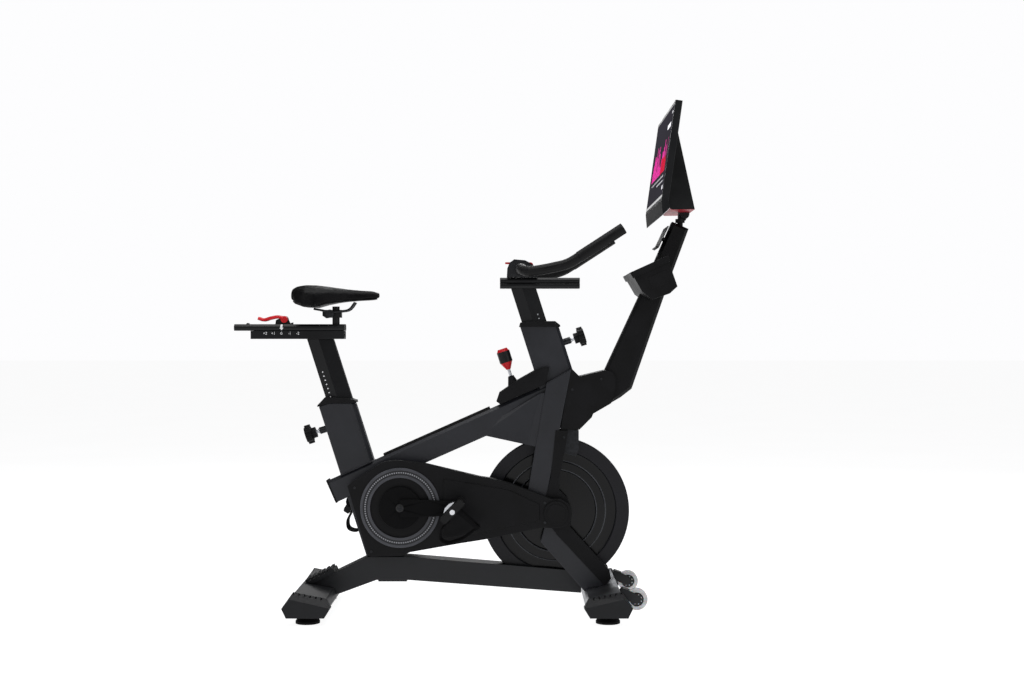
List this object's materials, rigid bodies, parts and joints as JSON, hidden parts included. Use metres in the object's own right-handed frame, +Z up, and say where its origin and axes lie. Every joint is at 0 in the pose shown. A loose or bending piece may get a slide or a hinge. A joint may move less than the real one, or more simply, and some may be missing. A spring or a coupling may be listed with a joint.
{
  "type": "exercise bike",
  "caption": "Upright indoor cycling bike with a flywheel, belt drive, sliding saddle and handlebar on telescoping posts, and a tilting screen on a raked mast.",
  "frame": {"origin": "middle of the bounding box on the floor", "axes": "+X towards the handlebar and screen, +Y to the rider's left, +Z up"},
  "size_m": [1.4651, 0.54, 1.601],
  "materials": {
    "frame_paint": "fine satin powder coat, charcoal",
    "bar_metal": "brushed extrusion",
    "cover_plastic": "textured moulded black",
    "ring_plastic": "satin grey with moulded bands",
    "bright_steel": "zinc plated and ground steel",
    "belt_rubber": "moulded drive belt",
    "flywheel_iron": "turned and black coated",
    "crank_metal": "black anodised forging",
    "saddle_vinyl": "black vinyl over foam",
    "grip_rubber": "soft coated tube",
    "knob_plastic": "moulded knob",
    "housing_gloss": "smoked gloss moulding",
    "red_lever": "red moulded lever",
    "screen_glass": "dark cover glass over the display",
    "foot_rubber": "levelling pad",
    "wheel_tyre": "clear grey urethane on a black hub"
  },
  "bodies": {
    "frame": {"base_beam": "frame_paint", "stabiliser_bars": "bar_metal", "base_caps": "cover_plastic", "main_beam": "frame_paint", "plastic_trims": "cover_plastic", "seat_tube": "frame_paint", "head_tube": "frame_paint", "fork_legs": "frame_paint", "guard_outer": "cover_plastic", "guard_inner": "cover_plastic", "left_cover": "cover_plastic", "guard_rings": "ring_plastic", "front_cowl": "cover_plastic", "tube_collars": "cover_plastic", "bottom_bracket": "frame_paint", "bearings": "bright_steel", "drive_belt": "belt_rubber", "mast": "cover_plastic", "caddy": "cover_plastic", "media_plate": "cover_plastic", "fasteners": "bright_steel", "wheel_brackets": "frame_paint"},
    "flywheel_set": {"flywheel": "flywheel_iron", "flywheel_axle": "bright_steel"},
    "crank_set": {"crank_axle": "bright_steel", "drive_pulley": "flywheel_iron", "crank_right": "crank_metal", "crank_left": "crank_metal"},
    "right_pedal": {"pedal_right": "crank_metal", "cage_right": "crank_metal"},
    "left_pedal": {"pedal_left": "crank_metal", "cage_left": "crank_metal"},
    "seat_column": {"seat_post": "crank_metal"},
    "seat_carrier": {"seat_slider": "crank_metal"},
    "seat_clamp": {"seat_lever": "red_lever"},
    "saddle": {"saddle_rails": "bright_steel", "saddle_shell": "cover_plastic", "saddle_pad": "saddle_vinyl"},
    "seat_plunger": {"seat_pin": "bright_steel"},
    "seat_star": {"seat_knob": "knob_plastic"},
    "bar_column": {"bar_post": "crank_metal"},
    "bar_set": {"handlebar": "grip_rubber", "bar_grips": "grip_rubber", "bar_housing": "housing_gloss"},
    "bar_clamp": {"bar_lever": "red_lever"},
    "bar_plunger": {"bar_pin": "bright_steel"},
    "bar_star": {"bar_knob": "knob_plastic"},
    "brake_rod": {"brake_stem": "bright_steel"},
    "brake_dial": {"brake_knob": "knob_plastic"},
    "caliper": {"magnet_caliper": "bright_steel"},
    "screen_yoke": {"screen_neck": "cover_plastic"},
    "screen": {"screen_frame": "cover_plastic", "screen_glass": "screen_glass", "screen_back": "cover_plastic"},
    "right_wheel": {"wheel_right": "wheel_tyre"},
    "left_wheel": {"wheel_left": "wheel_tyre"},
    "front_right_foot": {"foot_front_right": "foot_rubber"},
    "front_left_foot": {"foot_front_left": "foot_rubber"},
    "rear_right_foot": {"foot_rear_right": "foot_rubber"},
    "rear_left_foot": {"foot_rear_left": "foot_rubber"}
  },
  "joints": [
    {"name": "flywheel_spin", "type": "hinge", "parent": "frame", "child": "flywheel_set", "pos_m": [0.2975, 0, 0.322], "axis": [0, 1, 0], "continuous": true},
    {"name": "crank_spin", "type": "hinge", "parent": "frame", "child": "crank_set", "pos_m": [-0.196, 0, 0.339], "axis": [0, 1, 0], "continuous": true},
    {"name": "right_pedal_spin", "type": "hinge", "parent": "crank_set", "child": "right_pedal", "pos_m": [-0.026, 0, 0.339], "axis": [0, 1, 0], "continuous": true},
    {"name": "left_pedal_spin", "type": "hinge", "parent": "crank_set", "child": "left_pedal", "pos_m": [-0.366, 0, 0.339], "axis": [0, 1, 0], "continuous": true},
    {"name": "seat_height", "type": "slide", "parent": "frame", "child": "seat_column", "axis": [-0.3049, 0, 0.9524], "range_m": [-0.16, 0.08]},
    {"name": "seat_fore_aft", "type": "slide", "parent": "seat_column", "child": "seat_carrier", "axis": [1, 0, 0], "range_m": [-0.052, 0.052]},
    {"name": "seat_lever_lift", "type": "hinge", "parent": "seat_carrier", "child": "seat_clamp", "pos_m": [-0.5736, 0, 0.936], "axis": [0, 1, 0], "range_deg": [0, 100]},
    {"name": "saddle_tilt", "type": "hinge", "parent": "seat_carrier", "child": "saddle", "pos_m": [-0.4256, 0, 0.9546], "axis": [0, 1, 0], "range_deg": [-8, 8]},
    {"name": "seat_pin_pull", "type": "slide", "parent": "frame", "child": "seat_plunger", "axis": [-0.9524, 0, -0.3049], "range_m": [0, 0.008], "stiffness_N_per_m": 1500, "springref_m": -0.004},
    {"name": "seat_knob_turn", "type": "hinge", "parent": "seat_plunger", "child": "seat_star", "pos_m": [-0.43741, 0, 0.58487], "axis": [-0.9524, 0, -0.3049], "range_deg": [0, 360]},
    {"name": "bar_height", "type": "slide", "parent": "frame", "child": "bar_column", "axis": [-0.3049, 0, 0.9524], "range_m": [-0.03, 0.085]},
    {"name": "bar_fore_aft", "type": "slide", "parent": "bar_column", "child": "bar_set", "axis": [1, 0, 0], "range_m": [-0.02, 0.065]},
    {"name": "bar_lever_lift", "type": "hinge", "parent": "bar_set", "child": "bar_clamp", "pos_m": [0.216, 0, 1.109], "axis": [0, 1, 0], "range_deg": [0, 90]},
    {"name": "bar_pin_pull", "type": "slide", "parent": "frame", "child": "bar_plunger", "axis": [0.9524, 0, 0.3049], "range_m": [0, 0.008], "stiffness_N_per_m": 1500, "springref_m": -0.004},
    {"name": "bar_knob_turn", "type": "hinge", "parent": "bar_plunger", "child": "bar_star", "pos_m": [0.32393, 0, 0.86282], "axis": [0.9524, 0, 0.3049], "range_deg": [0, 360]},
    {"name": "brake_push", "type": "slide", "parent": "frame", "child": "brake_rod", "axis": [0.3049, 0, -0.9524], "range_m": [0, 0.01], "stiffness_N_per_m": 2000, "springref_m": -0.008},
    {"name": "resistance_turn", "type": "hinge", "parent": "brake_rod", "child": "brake_dial", "pos_m": [0.1564, 0, 0.747], "axis": [-0.3049, 0, 0.9524], "range_deg": [-180, 180]},
    {"name": "caliper_swing", "type": "hinge", "parent": "frame", "child": "caliper", "pos_m": [0.27, 0, 0.612], "axis": [0, 1, 0], "range_deg": [-6, 6]},
    {"name": "screen_swivel", "type": "hinge", "parent": "frame", "child": "screen_yoke", "pos_m": [0.699, 0, 1.21], "axis": [0, 0, 1], "range_deg": [-20, 20]},
    {"name": "screen_tilt", "type": "hinge", "parent": "screen_yoke", "child": "screen", "pos_m": [0.711, 0, 1.275], "axis": [0, 1, 0], "range_deg": [-10, 10]},
    {"name": "right_wheel_spin", "type": "hinge", "parent": "frame", "child": "right_wheel", "pos_m": [0.544, -0.17, 0.067], "axis": [0, 1, 0], "continuous": true},
    {"name": "left_wheel_spin", "type": "hinge", "parent": "frame", "child": "left_wheel", "pos_m": [0.544, 0.17, 0.067], "axis": [0, 1, 0], "continuous": true},
    {"name": "front_right_foot_level", "type": "slide", "parent": "frame", "child": "front_right_foot", "axis": [0, 0, -1], "range_m": [0, 0.012]},
    {"name": "front_left_foot_level", "type": "slide", "parent": "frame", "child": "front_left_foot", "axis": [0, 0, -1], "range_m": [0, 0.012]},
    {"name": "rear_right_foot_level", "type": "slide", "parent": "frame", "child": "rear_right_foot", "axis": [0, 0, -1], "range_m": [0, 0.012]},
    {"name": "rear_left_foot_level", "type": "slide", "parent": "frame", "child": "rear_left_foot", "axis": [0, 0, -1], "range_m": [0, 0.012]}
  ],
  "couplings": [
    {"joint": "crank_spin", "follows": "flywheel_spin", "ratio": 0.25},
    {"joint": "caliper_swing", "follows": "resistance_turn", "ratio": 0.033333}
  ]
}
